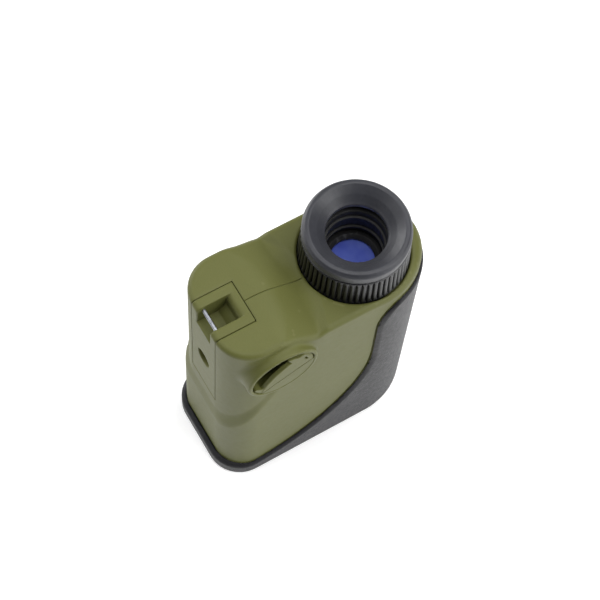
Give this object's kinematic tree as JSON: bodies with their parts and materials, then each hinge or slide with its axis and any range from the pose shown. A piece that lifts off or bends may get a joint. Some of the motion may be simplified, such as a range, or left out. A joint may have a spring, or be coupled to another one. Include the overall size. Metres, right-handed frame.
{
  "type": "laser rangefinder",
  "caption": "Pocket monocular laser rangefinder with olive casing, rubber armour, ribbed diopter ring, rubber eyecup, round battery cap and tripod socket.",
  "frame": {"origin": "middle of the front rim's resting face, on the plane where the casing halves meet", "axes": "+Z along the sighting axis from the front lenses to the eyepiece, +Y towards the buttons on top, +X towards the battery cap"},
  "size_m": [0.0402, 0.0755, 0.106],
  "materials": {
    "olive_plastic": "satin, fine texture",
    "black_rubber": "soft matte",
    "black_plastic": "satin",
    "black_anodised": "black anodised, semi-gloss",
    "steel": "polished",
    "brass": "satin",
    "coated_glass": "polished, blue anti-reflection coating",
    "clear_glass": "polished",
    "receiver_glass": "polished, reddish infrared coating",
    "circuit_board": "solder mask",
    "flex_film": "polyimide film",
    "chip_black": "moulded epoxy",
    "battery_wrap": "shrink sleeve",
    "lead_red": "wire insulation",
    "seal_rubber": "oiled"
  },
  "bodies": {
    "root": {"left_shell": "olive_plastic", "right_shell": "olive_plastic", "rubber_armour": "black_rubber", "front_plate": "black_plastic", "shell_screws": "steel", "strap_insert": "olive_plastic", "strap_pin": "steel", "tripod_bush": "brass", "button_board": "circuit_board", "button_domes": "steel", "battery_sleeve": "black_plastic", "battery_contact": "steel", "battery_leads": "lead_red", "eyepiece_tube": "black_anodised", "objective_tube": "black_plastic", "objective_ring": "black_anodised", "objective_crown": "coated_glass", "objective_flint": "clear_glass", "prism_housing": "black_plastic", "prism_cover": "steel", "half_penta_prism": "clear_glass", "roof_prism": "clear_glass", "display_frame": "black_plastic", "display_panel": "clear_glass", "display_flex": "flex_film", "receiver_tube": "black_plastic", "receiver_ring": "black_anodised", "receiver_lens": "receiver_glass", "receiver_sensor": "steel", "receiver_board": "circuit_board", "laser_tube": "black_anodised", "laser_lens": "receiver_glass", "laser_diode": "brass", "main_board": "circuit_board", "board_chips": "chip_black", "storage_capacitor": "battery_wrap"},
    "fire_key": {"fire_button": "black_rubber"},
    "mode_key": {"mode_button": "black_rubber"},
    "cell": {"battery": "battery_wrap"},
    "cap_core": {"cap_contact": "steel", "cap_spring": "steel"},
    "cap": {"battery_cap": "olive_plastic", "cap_seal": "seal_rubber"},
    "focus_ring": {"diopter_ring": "black_plastic", "eyecup": "black_rubber"},
    "ocular": {"ocular_cell": "black_anodised", "diopter_pin": "steel", "eye_lens": "coated_glass", "eye_lens_ring": "black_anodised", "lens_spacer": "black_anodised", "field_lens": "coated_glass"}
  },
  "joints": [
    {"name": "fire_press", "type": "slide", "parent": "root", "child": "fire_key", "axis": [0, -1, 0], "range_m": [0, 0.0008], "stiffness_N_per_m": 1500},
    {"name": "mode_press", "type": "slide", "parent": "root", "child": "mode_key", "axis": [0, -1, 0], "range_m": [0, 0.0008], "stiffness_N_per_m": 1500},
    {"name": "diopter_turn", "type": "hinge", "parent": "root", "child": "focus_ring", "pos_m": [0, 0.016, 0.092], "axis": [0, 0, 1], "range_deg": [-60, 60]},
    {"name": "diopter_focus", "type": "slide", "parent": "root", "child": "ocular", "axis": [0, 0, 1], "range_m": [-0.0015, 0.0015]},
    {"name": "cap_slide", "type": "slide", "parent": "root", "child": "cap_core", "axis": [1, 0, 0], "range_m": [0, 0.052]},
    {"name": "cap_turn", "type": "hinge", "parent": "cap_core", "child": "cap", "pos_m": [0, -0.0192, 0.08], "axis": [1, 0, 0], "range_deg": [0, 90]},
    {"name": "battery_slide", "type": "slide", "parent": "root", "child": "cell", "axis": [1, 0, 0], "range_m": [0, 0.039]}
  ],
  "couplings": [
    {"joint": "diopter_focus", "follows": "diopter_turn", "m_per_rad": 0.00143},
    {"joint": "battery_slide", "follows": "cap_slide", "ratio": 0.75}
  ]
}
